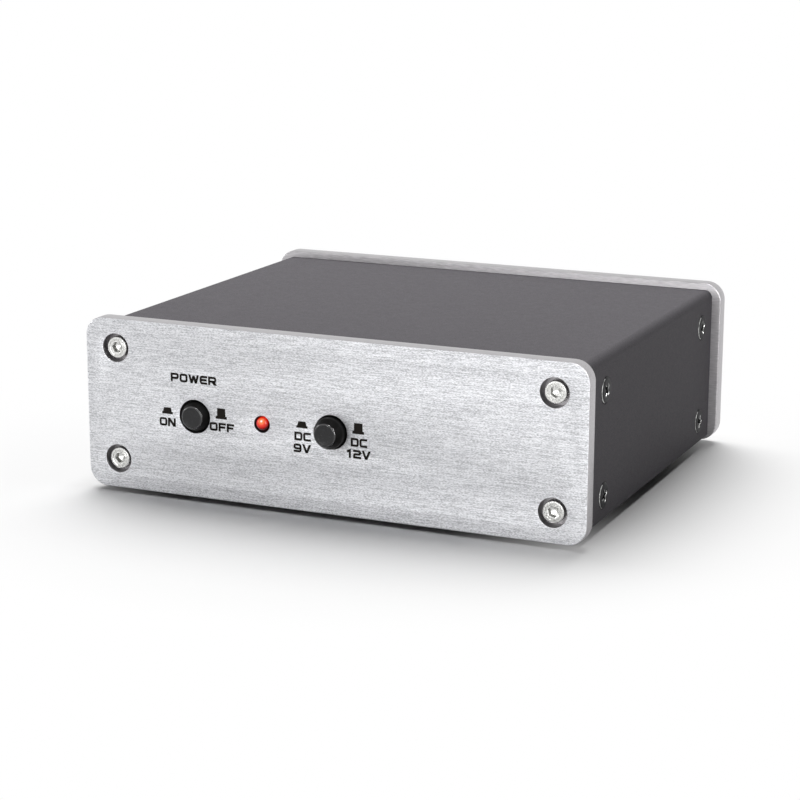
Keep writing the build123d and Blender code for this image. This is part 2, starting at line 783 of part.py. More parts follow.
with BuildPart() as ground_tag:
    with BuildSketch(facing_front(rear_inside)):
        with Locations((ground_x, ground_z)):
            Circle(ground_tag_radius)
            Rectangle(ground_tag_width, ground_tag_length, align=(Align.CENTER, Align.MIN))
            Circle(ground_stud_radius + ground_stud_hole_gap, mode=Mode.SUBTRACT)
        with Locations((ground_x, ground_z + ground_tag_eye_height)):
            Circle(ground_tag_eye_radius, mode=Mode.SUBTRACT)
    extrude(amount=ground_tag_thickness)
write(ground_tag, "ground_tag")

with BuildPart() as ground_nut:
    with BuildSketch(facing_front(rear_inside - ground_tag_thickness)):
        with Locations((ground_x, ground_z)):
            RegularPolygon(ground_nut_width / 2, 6, major_radius=False)
            Circle(ground_stud_radius + thread_gap, mode=Mode.SUBTRACT)
    extrude(amount=ground_nut_height)
write(ground_nut, "ground_nut")

with BuildPart() as ground_washer:
    with BuildSketch(facing_rear(washer_seat)):
        with Locations(ground_spot):
            Circle(ground_washer_radius)
            Circle(ground_stud_radius + ground_knob_gap, mode=Mode.SUBTRACT)
    extrude(amount=ground_washer_height)
write(ground_washer, "ground_washer")

with BuildPart() as ground_knob:
    with BuildSketch(facing_rear(knob_seat)):
        with Locations(ground_spot):
            Circle(ground_knob_radius)
            with PolarLocations(ground_knob_radius, ground_knob_notches):
                Circle(ground_knob_notch_radius, mode=Mode.SUBTRACT)
            Circle(ground_stud_radius + ground_knob_gap, mode=Mode.SUBTRACT)
    extrude(amount=ground_knob_height)
write(ground_knob, "ground_knob")

# ---------------------------------------------------------------- amplifier chips in their sockets
chip_seat = board_top + chip_socket_height
chip_top = chip_seat + chip_height

with BuildPart() as amplifier_sockets:
    with BuildSketch(Plane.XY.offset(board_top)):
        with Locations(*channel_spots):
            Rectangle(chip_socket_width, chip_socket_length)
            Rectangle(chip_socket_slot, chip_socket_length - chip_socket_bar, mode=Mode.SUBTRACT)
    extrude(amount=chip_socket_height)
    with Locations(*[(x, y, board_top) for x, y in chip_pins]):
        Cylinder(lead_radius, board_thickness + lead_tail, align=below_plane)
write(amplifier_sockets, "amplifier_sockets")

with BuildPart() as amplifier_chips:
    with BuildSketch(Plane.XY.offset(chip_seat)):
        with Locations(*channel_spots):
            Rectangle(chip_width, chip_length)
    extrude(amount=chip_height)
    with Locations(*[(x, y + chip_length / 2, chip_top) for x, y in channel_spots]):
        Cylinder(chip_notch_radius, chip_notch_depth, mode=Mode.SUBTRACT)
write(amplifier_chips, "amplifier_chips")


# ---------------------------------------------------------------- capacitors
def round_capacitors(spots, radius, height, leads):
    """Upright aluminium cans with a groove near the foot and two leads each through the board."""
    with BuildPart(Plane.XY.offset(board_top)) as cans:
        with Locations(*spots):
            Cylinder(radius, height, align=on_plane)
        fillet(cans.edges().group_by(Axis.Z)[-1], can_edge)
        with Locations(*[(x, y, can_groove_height) for x, y in spots]):
            Torus(radius + can_groove / 2, can_groove, mode=Mode.SUBTRACT)
        with Locations(*leads):
            Cylinder(lead_radius, board_thickness + lead_tail, align=below_plane)
    return cans


reservoirs = round_capacitors(reservoir_spots, reservoir_radius, reservoir_height, reservoir_leads)
write(reservoirs, "reservoir_capacitors")
couplers = round_capacitors(coupler_spots, coupler_radius, coupler_height, coupler_leads)
write(couplers, "coupling_capacitors")

with BuildPart(Plane.XY.offset(board_top)) as film_capacitors:
    with Locations(*film_spots):
        Box(film_length, film_width, film_height, align=on_plane)
    chamfer(film_capacitors.faces().group_by(Axis.Z)[-1].edges(), film_edge)
    with Locations(*film_leads):
        Cylinder(lead_radius, board_thickness + lead_tail, align=below_plane)
write(film_capacitors, "film_capacitors")

# ---------------------------------------------------------------- resistors of the equaliser network
resistor_z = board_top + resistor_lift + resistor_radius
with BuildPart() as resistors:
    for x, y in resistor_spots:
        with BuildSketch(Plane(origin=(x, y, resistor_z), x_dir=(0, 1, 0), z_dir=(1, 0, 0))):
            with BuildLine():
                half = resistor_length / 2
                Polyline(
                    (-half, 0),
                    (-half, resistor_radius),
                    (-half + resistor_end, resistor_radius),
                    (-half + resistor_end, resistor_waist),
                    (half - resistor_end, resistor_waist),
                    (half - resistor_end, resistor_radius),
                    (half, resistor_radius),
                    (half, 0),
                    close=True,
                )
            make_face()
        revolve(axis=Axis((x, y, resistor_z), (0, 1, 0)))
        for sign in (-1, 1):
            lead_y = y + sign * resistor_lead_pitch / 2
            with BuildLine():
                lead_path = FilletPolyline(
                    (x, y + sign * (half - resistor_lead_root), resistor_z),
                    (x, lead_y, resistor_z),
                    (x, lead_y, board_bottom - lead_tail),
                    radius=resistor_lead_bend,
                )
            with BuildSketch(Plane(origin=lead_path @ 0, z_dir=lead_path % 0)):
                Circle(lead_radius)
            sweep(path=lead_path)
write(resistors, "resistors")

# ---------------------------------------------------------------- voltage regulator standing on its legs
regulator_back = channel_y + regulator_thickness / 2

with BuildPart(Plane.XY.offset(regulator_foot)) as voltage_regulator:
    with Locations((regulator_x, channel_y)):
        Box(
            regulator_width,
            regulator_thickness,
            regulator_body_height,
            align=on_plane,
        )
    with Locations(*regulator_legs):
        Box(
            regulator_leg_width,
            regulator_leg_width,
            regulator_leg_height + board_thickness + lead_tail,
            align=below_plane,
        )
write(voltage_regulator, "voltage_regulator")

with BuildPart() as regulator_tab:
    with BuildSketch(facing_rear(regulator_back)):
        with Locations((-regulator_x, regulator_foot + regulator_body_height)):
            Rectangle(regulator_width, regulator_tab_height, align=(Align.CENTER, Align.MIN))
        with Locations((-regulator_x, regulator_foot + regulator_body_height + regulator_tab_height / 2)):
            Circle(regulator_tab_hole_radius, mode=Mode.SUBTRACT)
    extrude(amount=-regulator_tab_thickness)
write(regulator_tab, "regulator_tab")
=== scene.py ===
import math

import bmesh
import bpy
from mathutils import Matrix, Vector
from mathutils.geometry import tessellate_polygon


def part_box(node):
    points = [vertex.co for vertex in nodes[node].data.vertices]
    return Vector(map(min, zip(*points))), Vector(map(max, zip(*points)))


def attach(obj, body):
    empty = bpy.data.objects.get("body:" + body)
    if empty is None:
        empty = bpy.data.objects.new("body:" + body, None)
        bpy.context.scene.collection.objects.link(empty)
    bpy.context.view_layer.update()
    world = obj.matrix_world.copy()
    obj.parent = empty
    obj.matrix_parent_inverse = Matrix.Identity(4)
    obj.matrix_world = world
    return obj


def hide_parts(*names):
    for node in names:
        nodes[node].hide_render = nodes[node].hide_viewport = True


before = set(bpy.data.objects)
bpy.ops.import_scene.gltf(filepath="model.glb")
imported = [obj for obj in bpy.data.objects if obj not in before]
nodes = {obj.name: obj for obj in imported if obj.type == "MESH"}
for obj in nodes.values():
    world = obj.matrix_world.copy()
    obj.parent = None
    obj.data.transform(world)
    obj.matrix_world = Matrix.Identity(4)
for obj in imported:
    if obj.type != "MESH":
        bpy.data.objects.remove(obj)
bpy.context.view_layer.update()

# ------------------------------------------------------------------ rails
# Four square bars of extruded aluminium in the long corners. Fine drawn lines run along them,
# and everything else is screwed to them.


def fine_pattern():
    """Shared effect: cloudy grain, stretched by Scale along the piece's axes, as Value 0 to 1."""
    group = bpy.data.node_groups.new("Fine pattern", "ShaderNodeTree")
    group.interface.new_socket("Scale", in_out="INPUT", socket_type="NodeSocketVector")
    group.interface.new_socket("Value", in_out="OUTPUT", socket_type="NodeSocketFloat")
    start = group.nodes.new("NodeGroupInput")
    end = group.nodes.new("NodeGroupOutput")
    place = group.nodes.new("ShaderNodeTexCoord")
    mapping = group.nodes.new("ShaderNodeMapping")
    noise = group.nodes.new("ShaderNodeTexNoise")
    noise.inputs["Scale"].default_value = 1.0
    noise.inputs["Detail"].default_value = 3.0
    spread = group.nodes.new("ShaderNodeMapRange")
    spread.inputs["From Min"].default_value = 0.3
    spread.inputs["From Max"].default_value = 0.7
    group.links.new(place.outputs["Object"], mapping.inputs["Vector"])
    group.links.new(start.outputs["Scale"], mapping.inputs["Scale"])
    group.links.new(mapping.outputs["Vector"], noise.inputs["Vector"])
    group.links.new(noise.outputs["Fac"], spread.inputs["Value"])
    group.links.new(spread.outputs["Result"], end.inputs["Value"])
    return group


pattern_group = fine_pattern()


def grain(tree, size):
    """Adds the fine pattern to a material; size is the grain's length along x, y, z in mm."""
    node = tree.nodes.new("ShaderNodeGroup")
    node.node_tree = pattern_group
    node.inputs["Scale"].default_value = tuple(1000 / s for s in size)
    return node.outputs["Value"]


def blend_colours(tree, share, dark, light):
    """Colour that goes from dark to light as share goes from 0 to 1."""
    mix = tree.nodes.new("ShaderNodeMix")
    mix.data_type = "RGBA"
    mix.inputs["A"].default_value = (*dark, 1)
    mix.inputs["B"].default_value = (*light, 1)
    tree.links.new(share, mix.inputs["Factor"])
    return mix.outputs["Result"]


def blend_values(tree, share, low, high):
    """Value that goes from low to high as share goes from 0 to 1."""
    span = tree.nodes.new("ShaderNodeMapRange")
    span.inputs["To Min"].default_value = low
    span.inputs["To Max"].default_value = high
    tree.links.new(share, span.inputs["Value"])
    return span.outputs["Result"]


def relief(tree, height, strength, depth):
    """Bumps of the given depth in millimetres, for a shader's Normal."""
    bump = tree.nodes.new("ShaderNodeBump")
    bump.inputs["Strength"].default_value = strength
    bump.inputs["Distance"].default_value = depth / 1000
    tree.links.new(height, bump.inputs["Height"])
    return bump.outputs["Normal"]


def finish(
    name, dark, light, rough, size, metallic=0.0, coat=0.0, specular=0.5, bump=0.0, depth=0.01
):
    """A surface whose tone, gloss and relief follow the fine pattern."""
    mat = bpy.data.materials.new(name)
    mat.use_nodes = True
    tree = mat.node_tree
    shader = tree.nodes["Principled BSDF"]
    share = grain(tree, size)
    tree.links.new(blend_colours(tree, share, dark, light), shader.inputs["Base Color"])
    tree.links.new(blend_values(tree, share, *rough), shader.inputs["Roughness"])
    shader.inputs["Metallic"].default_value = metallic
    shader.inputs["Specular IOR Level"].default_value = specular
    shader.inputs["Coat Weight"].default_value = coat
    shader.inputs["Coat Roughness"].default_value = 0.08
    if bump:
        tree.links.new(relief(tree, share, bump, depth), shader.inputs["Normal"])
    return mat


def paint(mat, *names):
    """Gives CAD nodes their material."""
    for name in names:
        nodes[name].data.materials.clear()
        nodes[name].data.materials.append(mat)


extruded = finish(
    "Extruded aluminium", (0.55, 0.55, 0.56), (0.74, 0.74, 0.75), (0.32, 0.5), (0.25, 12, 0.25),
    metallic=1.0, bump=0.3,
)
paint(extruded, "lower_left_rail", "lower_right_rail", "upper_left_rail", "upper_right_rail")

# ------------------------------------------------------------------ circuit board
# Glass-fibre board with a green solder mask, screwed down on the lower rails with zinc-plated
# screws. The woven glass shows through the mask as a faint weave.
solder_mask = finish(
    "Green solder mask", (0.012, 0.11, 0.035), (0.03, 0.19, 0.07), (0.3, 0.45), (0.5, 0.5, 2),
    coat=0.4, bump=0.2,
)
zinc = finish(
    "Bright zinc plate", (0.56, 0.56, 0.55), (0.78, 0.78, 0.76), (0.2, 0.36), (0.35, 0.35, 0.35),
    metallic=1.0, bump=0.25, depth=0.006,
)
paint(solder_mask, "circuit_board")
paint(zinc, "board_screws")

# ------------------------------------------------------------------ parts on the board
# Moulded chips in sockets, sleeved capacitor cans, film capacitors, lacquered resistors and a
# regulator with its metal tab, all soldered through the board with tinned legs.
black_moulding = finish(
    "Black moulding", (0.012, 0.012, 0.013), (0.03, 0.03, 0.032), (0.42, 0.6), (0.12, 0.12, 0.12),
    bump=0.3, depth=0.008,
)
can_sleeve = finish(
    "Capacitor sleeve", (0.01, 0.013, 0.035), (0.02, 0.026, 0.06), (0.25, 0.4), (0.6, 0.6, 4),
    coat=0.3, bump=0.2,
)
film_box = finish(
    "Film capacitor box", (0.34, 0.05, 0.025), (0.45, 0.08, 0.04), (0.3, 0.45), (0.3, 0.3, 0.3),
    bump=0.25,
)
lacquer = finish(
    "Resistor lacquer", (0.08, 0.22, 0.36), (0.13, 0.31, 0.46), (0.25, 0.4), (0.4, 0.4, 0.4),
    coat=0.3, bump=0.2,
)
tin = finish(
    "Tinned wire", (0.55, 0.56, 0.57), (0.76, 0.77, 0.78), (0.28, 0.42), (0.3, 0.3, 0.8),
    metallic=1.0, bump=0.2, depth=0.005,
)
paint(black_moulding, "amplifier_sockets", "amplifier_chips", "voltage_regulator")
paint(can_sleeve, "reservoir_capacitors", "coupling_capacitors")
paint(film_box, "film_capacitors")
paint(lacquer, "resistors")
paint(tin, "regulator_tab", "switch_pins", "lamp_leads", "jack_board_pins", "power_inlet_tabs")

# ------------------------------------------------------------------ push switches
# Two moulded switch housings soldered to the board, each with the slider that carries its
# button out through the front plate.
switch_moulding = finish(
    "Switch moulding", (0.035, 0.035, 0.038), (0.07, 0.07, 0.075), (0.45, 0.6), (0.2, 0.2, 0.2),
    bump=0.3, depth=0.008,
)
paint(switch_moulding, "power_switch_housing", "voltage_switch_housing")
paint(switch_moulding, "power_switch_slider", "voltage_switch_slider")

# ------------------------------------------------------------------ power inlet
# A moulded black inlet on the board; its round nose comes through the rear plate, and a tinned
# pin stands in the middle of its hole.
paint(black_moulding, "power_inlet_body")
paint(tin, "power_inlet_pin")

# ------------------------------------------------------------------ phono sockets
# White bodies for the left channel and red ones for the right, each with a gold-plated sleeve
# that comes through the rear plate and a gold-plated centre contact.
white_moulding = finish(
    "White moulding", (0.68, 0.68, 0.66), (0.78, 0.78, 0.76), (0.25, 0.36), (0.5, 0.5, 0.5),
    coat=0.2, bump=0.1,
)
red_moulding = finish(
    "Red moulding", (0.42, 0.012, 0.012), (0.55, 0.025, 0.02), (0.25, 0.36), (0.5, 0.5, 0.5),
    coat=0.2, bump=0.1,
)
gold = finish(
    "Gold plate", (0.66, 0.44, 0.17), (0.8, 0.57, 0.26), (0.16, 0.26), (0.8, 3, 0.8),
    metallic=1.0, bump=0.08, depth=0.005,
)
paint(white_moulding, "input_left_jack_body", "output_left_jack_body")
paint(red_moulding, "input_right_jack_body", "output_right_jack_body")
paint(gold, "input_left_jack_sleeve", "input_right_jack_sleeve")
paint(gold, "output_left_jack_sleeve", "output_right_jack_sleeve", "jack_contacts")

# ------------------------------------------------------------------ ground terminal
# Gold-plated stud with a hexagonal shoulder and a knurled thumb nut, a zinc-plated washer
# between them, and a tinned tag and a zinc-plated nut inside the rear plate.
paint(gold, "ground_stud", "ground_shoulder", "ground_knob")
paint(zinc, "ground_washer", "ground_nut")
paint(tin, "ground_tag")

# ------------------------------------------------------------------ base sheet and feet
# Painted steel sheet that closes the case from below, held by blackened countersunk screws.
# Four rubber feet are stuck on it.


def painted_sheet():
    """Fine satin dark grey paint: very small orange-peel relief and specks a little lighter."""
    mat = bpy.data.materials.new("Dark grey satin paint")
    mat.use_nodes = True
    tree = mat.node_tree
    shader = tree.nodes["Principled BSDF"]
    specks = grain(tree, (0.16, 0.16, 0.16))
    clouds = grain(tree, (1.2, 1.2, 1.2))
    tone = blend_colours(tree, specks, (0.078, 0.074, 0.08), (0.131, 0.125, 0.135))
    tree.links.new(tone, shader.inputs["Base Color"])
    tree.links.new(blend_values(tree, clouds, 0.55, 0.65), shader.inputs["Roughness"])
    tree.links.new(relief(tree, specks, 0.35, 0.012), shader.inputs["Normal"])
    shader.inputs["Specular IOR Level"].default_value = 0.03
    return mat


case_paint = painted_sheet()
black_steel = finish(
    "Blackened steel", (0.008, 0.008, 0.009), (0.018, 0.018, 0.02), (0.4, 0.5), (0.3, 0.3, 0.3),
    specular=0.1, bump=0.2, depth=0.005,
)
rubber = finish(
    "Black rubber", (0.012, 0.012, 0.012), (0.028, 0.028, 0.028), (0.75, 0.9), (0.25, 0.25, 0.25),
    bump=0.4, depth=0.015,
)
paint(case_paint, "base_plate")
paint(black_steel, "base_screws")
paint(rubber, "front_left_foot", "front_right_foot", "rear_left_foot", "rear_right_foot")

# ------------------------------------------------------------------ cover
# Sheet steel folded over both long edges of the case, in the same paint as the base. It is
# screwed to the rails from both sides.
paint(case_paint, "case_cover")

# ------------------------------------------------------------------ cover screws
# Blackened countersunk screws with a cross slot, four on each side, driven into the rails.
# Bright bare steel on the front side of their rims is a painted highlight for glint arcs; on
# the walls of their slots it is wear and a painted glint.
worn_steel_and_glint = finish(
    "Worn steel and painted glint", (0.12, 0.12, 0.12), (0.6, 0.6, 0.59), (0.2, 0.32), (0.9, 0.9, 0.9),
    metallic=1.0, bump=0.2,
)
cover_head_radius = 2.75


def circle(radius, steps, turn=0.0):
    """Points of a circle in the plane of a plate."""
    angles = [turn + 2 * math.pi * i / steps for i in range(steps)]
    return [(radius * math.cos(angle), radius * math.sin(angle)) for angle in angles]


def join_levels(bm, place, levels):
    """A wall through (loop, depth) levels; gives its first and last rows of vertices.

    All loops have the same number of points. place turns (right, up, depth) in millimetres
    into a point of the object.
    """
    rows = [[bm.verts.new(place(u, v, depth)) for u, v in loop] for loop, depth in levels]
    for first, second in zip(rows, rows[1:]):
        for i in range(len(first)):
            bm.faces.new((first[i - 1], first[i], second[i], second[i - 1])).smooth = True
    return rows[0], rows[-1]


def cap_rows(bm, rows, loops):
    """Flat faces between an outline and its holes, from their vertex rows and plane loops."""
    flat = [vertex for row in rows for vertex in row]
    for triangle in tessellate_polygon([[Vector((u, v, 0)) for u, v in loop] for loop in loops]):
        bm.faces.new([flat[i] for i in triangle])


def add_body(bm, place, outline, through=(), blind=()):
    """A solid from its outline levels, with through holes and blind holes, each as levels."""
    front_row, back_row = join_levels(bm, place, outline)
    front_rows, back_rows = [front_row], [back_row]
    front_loops, back_loops = [outline[0][0]], [outline[-1][0]]
    for levels in through:
        first, last = join_levels(bm, place, levels)
        front_rows.append(first)
        back_rows.append(last)
        front_loops.append(levels[0][0])
        back_loops.append(levels[-1][0])
    for levels in blind:
        first, last = join_levels(bm, place, levels)
        front_rows.append(first)
        front_loops.append(levels[0][0])
        cap_rows(bm, [last], [levels[-1][0]])
    cap_rows(bm, front_rows, front_loops)
    cap_rows(bm, back_rows, back_loops)


def make_piece(bm, name, mats, body, slot, *stands_for):
    """Turns a mesh in millimetres into a finished piece at the origin that rides on a body."""
    bmesh.ops.scale(bm, vec=(0.001, 0.001, 0.001), verts=bm.verts)
    bmesh.ops.recalc_face_normals(bm, faces=bm.faces)
    mesh = bpy.data.meshes.new(name)
    bm.to_mesh(mesh)
    bm.free()
    mesh.set_sharp_from_angle(angle=math.radians(30))
    for mat in mats:
        mesh.materials.append(mat)
    piece = bpy.data.objects.new(name, mesh)
    bpy.context.scene.collection.objects.link(piece)
    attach(piece, body)
    if stands_for:
        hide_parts(*stands_for)


def cross(length, width, corner, turn):
    """Points of a cross of arms with this reach and half width, its inner corners eased."""
    shoulder = length - width / 2
    inner = width + corner
    points = []
    for arm in range(4):
        angle = turn + arm * math.pi / 2
        along = Vector((math.cos(angle), math.sin(angle)))
        across = Vector((-math.sin(angle), math.cos(angle)))
        points.append(along * shoulder + across * -width)
        points.append(along * length + across * (-width / 2))
        points.append(along * length + across * (width / 2))
        points.append(along * shoulder + across * width)
        points.append(along * inner + across * inner * 0.82)
    return [(point.x, point.y) for point in points]


def cover_screw(bm, centre, side, turn):
    """A countersunk cross-slot screw; centre is on the sheet's face, in millimetres."""
    out = Vector((side, 0, 0))

    def place(u, v, depth):
        return centre + Vector((0, side, 0)) * u + Vector((0, 0, 1)) * v - out * depth

    profile = [
        (1.9, -0.25), (2.3, -0.22), (2.52, -0.14), (2.66, -0.02), (2.72, 0.05), (2.7, 0.16),
        (1.5, 1.2), (1.5, 4.9),
    ]
    outline = [(circle(radius, 48), depth) for radius, depth in profile]
    slot = [
        (cross(1.5, 0.42, 0.1, turn), -0.25),
        (cross(1.42, 0.36, 0.1, turn), -0.1),
        (cross(0.6, 0.2, 0.05, turn), 1.0),
    ]
    add_body(bm, place, outline, blind=[slot])
    for part in bm.faces:
        spot = part.calc_center_median() - centre
        height = spot.dot(out)
        radius = (spot - out * height).length
        # Bright steel on the rim's front side is a painted highlight; in the slot it is wear and
        # painted glint.
        glint_rim = 2.5 < radius < 2.62 and height > 0 and spot.y < -1.1
        worn_and_glinting_slot = radius < 1.6 and 0.1 < height < 0.22
        if glint_rim or worn_and_glinting_slot:
            part.material_index = 1


for side, name in ((-1, "left_cover_screws"), (1, "right_cover_screws")):
    low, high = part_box(name)
    rows = (low.y * 1000 + cover_head_radius, high.y * 1000 - cover_head_radius)
    columns = (low.z * 1000 + cover_head_radius, high.z * 1000 - cover_head_radius)
    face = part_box("case_cover")[side > 0].x * 1000
    bm = bmesh.new()
    for count, (y, z) in enumerate((y, z) for y in rows for z in columns):
        cover_screw(bm, Vector((face, y, z)), side, 0.35 + 0.5 * count)
    make_piece(bm, name + "_look", (black_steel, worn_steel_and_glint), "chassis", "dark_screws", name)

# ------------------------------------------------------------------ end plates
# Two plates of 3.5 mm aluminium, brushed along their length and clear anodised, with eased
# edges. The screws that hold them to the rails sit in round pockets at the corners. Their
# edges, inner faces and the walls of pockets and holes are darker milled metal, partly as painted
# shade.
plate_low, plate_high = (corner * 1000 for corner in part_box("front_plate"))
rear_face = (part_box("rear_plate")[1] * 1000).y
plate_middle = (plate_low.z + plate_high.z) / 2
plate_width = plate_high.x - plate_low.x
plate_height = plate_high.z - plate_low.z
plate_thickness = plate_high.y - plate_low.y
plate_corner = 4.0
plate_edge = 0.28
pocket_radius = 3.0
pocket_depth = 3.0
screw_hole_radius = 1.4
plate_head_radius = 2.25


def brushed():
    """Brushed aluminium: fine scratches along x over longer ones, its gloss drawn out across."""
    mat = bpy.data.materials.new("Brushed aluminium")
    mat.use_nodes = True
    tree = mat.node_tree
    shader = tree.nodes["Principled BSDF"]
    scratches = grain(tree, (0.42, 0.42, 0.09))
    bands = grain(tree, (4.0, 4.0, 0.11))
    both = tree.nodes.new("ShaderNodeMix")
    both.data_type = "FLOAT"
    both.inputs["Factor"].default_value = 0.37
    tree.links.new(scratches, both.inputs["A"])
    tree.links.new(bands, both.inputs["B"])
    crisp = tree.nodes.new("ShaderNodeMapRange")
    crisp.inputs["From Min"].default_value = 0.27
    crisp.inputs["From Max"].default_value = 0.67
    tree.links.new(both.outputs["Result"], crisp.inputs["Value"])
    share = crisp.outputs["Result"]
    tone = blend_colours(tree, share, (0.44, 0.445, 0.465), (0.86, 0.865, 0.89))
    tree.links.new(tone, shader.inputs["Base Color"])
    tree.links.new(blend_values(tree, share, 0.58, 0.46), shader.inputs["Roughness"])
    tree.links.new(relief(tree, share, 0.5, 0.012), shader.inputs["Normal"])
    across = tree.nodes.new("ShaderNodeTangent")
    across.direction_type = "RADIAL"
    across.axis = "X"
    tree.links.new(across.outputs["Tangent"], shader.inputs["Tangent"])
    shader.inputs["Anisotropic"].default_value = 0.75
    shader.inputs["Metallic"].default_value = 0.85
    return mat


def rounded_box(width, height, radius, steps=10):
    """Points of a rectangle with rounded corners."""
    points = []
    for turn, x, y in ((0, 1, 1), (1, -1, 1), (2, -1, -1), (3, 1, -1)):
        for i in range(steps + 1):
            angle = (turn + i / steps) * math.pi / 2
            points.append((
                x * (width / 2 - radius) + radius * math.cos(angle),
                y * (height / 2 - radius) + radius * math.sin(angle),
            ))
    return points


def eased(radius, steps=4):
    """(inset, depth) steps of a rounded edge of this radius, from the face to the wall."""
    turns = [i / steps * math.pi / 2 for i in range(steps + 1)]
    return [(radius * (1 - math.sin(turn)), radius * (1 - math.cos(turn))) for turn in turns]


def hole_levels(u, v, wall):
    """Levels of a round hole with an eased mouth, down the (radius, depth) steps of its wall."""
    mouth = [(wall[0][0] + inset, depth) for inset, depth in eased(0.12, 3)]
    return [
        ([(x + u, y + v) for x, y in circle(radius, 64)], depth) for radius, depth in mouth + wall
    ]


def end_plate(name, face, out, right, holes):
    """One end plate; holes are (x, z, radius) in the object's frame, in millimetres."""
    def place(u, v, depth):
        return Vector((right * u, face - out * depth, plate_middle + v))

    front = eased(plate_edge)
    back = [(inset, plate_thickness - depth) for inset, depth in reversed(front)]
    outline = [
        (
            rounded_box(plate_width - 2 * inset, plate_height - 2 * inset, plate_corner - inset),
            depth,
        )
        for inset, depth in front + back
    ]
    pocket = [
        (pocket_radius, pocket_depth), (screw_hole_radius, pocket_depth),
        (screw_hole_radius, plate_thickness),
    ]
    through = [hole_levels(right * x, z - plate_middle, pocket) for x, z in plate_spots]
    through += [
        hole_levels(right * x, z - plate_middle, [(radius, plate_thickness)])
        for x, z, radius in holes
    ]
    bm = bmesh.new()
    add_body(bm, place, outline, through=through)
    # Eased edges, side walls, inner faces and the walls of pockets and holes get the darker milled
    # metal: partly their milled finish, partly painted shade.
    brushed_end = face - out * 0.4 * plate_edge
    for part in bm.faces:
        part.material_index = any((v.co.y - brushed_end) * out < 0 for v in part.verts)
    make_piece(bm, name + "_look", (brushed_metal, milled_metal_and_shade), "chassis", "end_plates", name)


def middle(node):
    """Middle of a CAD node in millimetres."""
    low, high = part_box(node)
    return (low + high) * 500


def holes_round(radii):
    """(x, z, radius) of the hole round the middle of each CAD node, in millimetres."""
    return [(middle(node).x, middle(node).z, radius) for node, radius in radii.items()]


brushed_metal = brushed()
milled_metal_and_shade = finish(
    "Milled aluminium with painted shade", (0.36, 0.35, 0.36), (0.5, 0.487, 0.5), (0.32, 0.42), (2, 0.25, 0.25),
    metallic=1.0, bump=0.08,
)
screws_low, screws_high = (corner * 1000 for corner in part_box("front_plate_screws"))
plate_spots = [
    (x, z)
    for x in (screws_low.x + plate_head_radius, screws_high.x - plate_head_radius)
    for z in (screws_low.z + plate_head_radius, screws_high.z - plate_head_radius)
]
front_holes = holes_round({"power_button": 3.5, "voltage_button": 3.5, "lamp_lens": 1.75})
rear_holes = holes_round({
    "input_left_jack_sleeve": 4.6, "input_right_jack_sleeve": 4.6,
    "output_left_jack_sleeve": 4.6, "output_right_jack_sleeve": 4.6,
    "power_inlet_pin": 4.2, "ground_knob": 2.1,
})
end_plate("front_plate", plate_low.y, -1, 1, front_holes)
end_plate("rear_plate", rear_face, 1, -1, rear_holes)

# ------------------------------------------------------------------ plate screws
# M2.5 socket-head screws of bright zinc-plated steel, a little below the plates' faces. A
# shallow turned ring runs round each head, the socket's walls are painted darker as shade,
# and each stands at its own turn.
shaded_zinc = finish(
    "Zinc with painted shade", (0.22, 0.22, 0.21), (0.5, 0.5, 0.48), (0.22, 0.35), (0.3, 0.3, 0.3),
    metallic=1.0, bump=0.25,
)
key_radius = 1.155


def plate_screw(bm, x, z, face, out, turn):
    """A socket-head screw with its head's face at y = face."""
    def place(u, v, depth):
        return Vector((x + u, face - out * depth, z + v))

    ring = [(1.45, 0.0), (1.53, 0.12), (1.63, 0.12), (1.72, 0.0)]
    rim = [(plate_head_radius - inset, depth) for inset, depth in eased(0.25)]
    shank = [(plate_head_radius, 2.5), (1.25, 2.5), (1.25, 8.4)]
    outline = [(circle(radius, 48), depth) for radius, depth in ring + rim + shank]
    socket = [
        (circle(key_radius * 1.17, 6, turn), 0.0), (circle(key_radius, 6, turn), 0.12),
        (circle(key_radius, 6, turn), 1.35), (circle(0.05, 6, turn), 1.7),
    ]
    add_body(bm, place, outline, blind=[socket])
    # The socket's walls get the darker zinc: painted shade in the recess.
    for part in bm.faces:
        spot = part.calc_center_median()
        in_socket = math.hypot(spot.x - x, spot.z - z) < key_radius
        if in_socket and 0.13 < (face - spot.y) * out < 1.2:
            part.material_index = 1


for name, out in (("front_plate_screws", -1), ("rear_plate_screws", 1)):
    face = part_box(name)[out > 0].y * 1000
    bm = bmesh.new()
    for count, (x, z) in enumerate(plate_spots):
        plate_screw(bm, x, z, face, out, 0.2 + 0.8 * count)
    make_piece(bm, name + "_look", (zinc, shaded_zinc), "chassis", "bright_screws", name)

# ------------------------------------------------------------------ lamp
# A 3 mm lamp of clear red epoxy that stands a little out of its hole, held by the flange at its
# foot. It glows in its upper middle. The white spot there is a painted highlight, and the
# near-black lower edge is painted shade.
lamp_low, lamp_high = (corner * 1000 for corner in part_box("lamp_lens"))
lamp_spot = middle("lamp_lens")
lamp_end = lamp_high.y - lamp_low.y
lamp_radius = 1.5
flange_radius = 1.88
glow_and_highlight_centre = (lamp_spot.x + 0.12, lamp_low.y + 0.31, lamp_spot.z + 0.7)
glow_reach = 2.2
# The last, white stop is a painted highlight; the near-black first stops paint shade on the lamp's
# lower edge.
glow_highlight_and_shade_stops = (
    (0.28, (0.003, 0.0, 0.0)), (0.38, (0.45, 0.0, 0.0)), (0.62, (0.9, 0.02, 0.0)),
    (0.8, (1.0, 0.22, 0.03)), (0.87, (1.0, 0.3, 0.05)), (0.91, (1.25, 1.1, 1.0)),
)


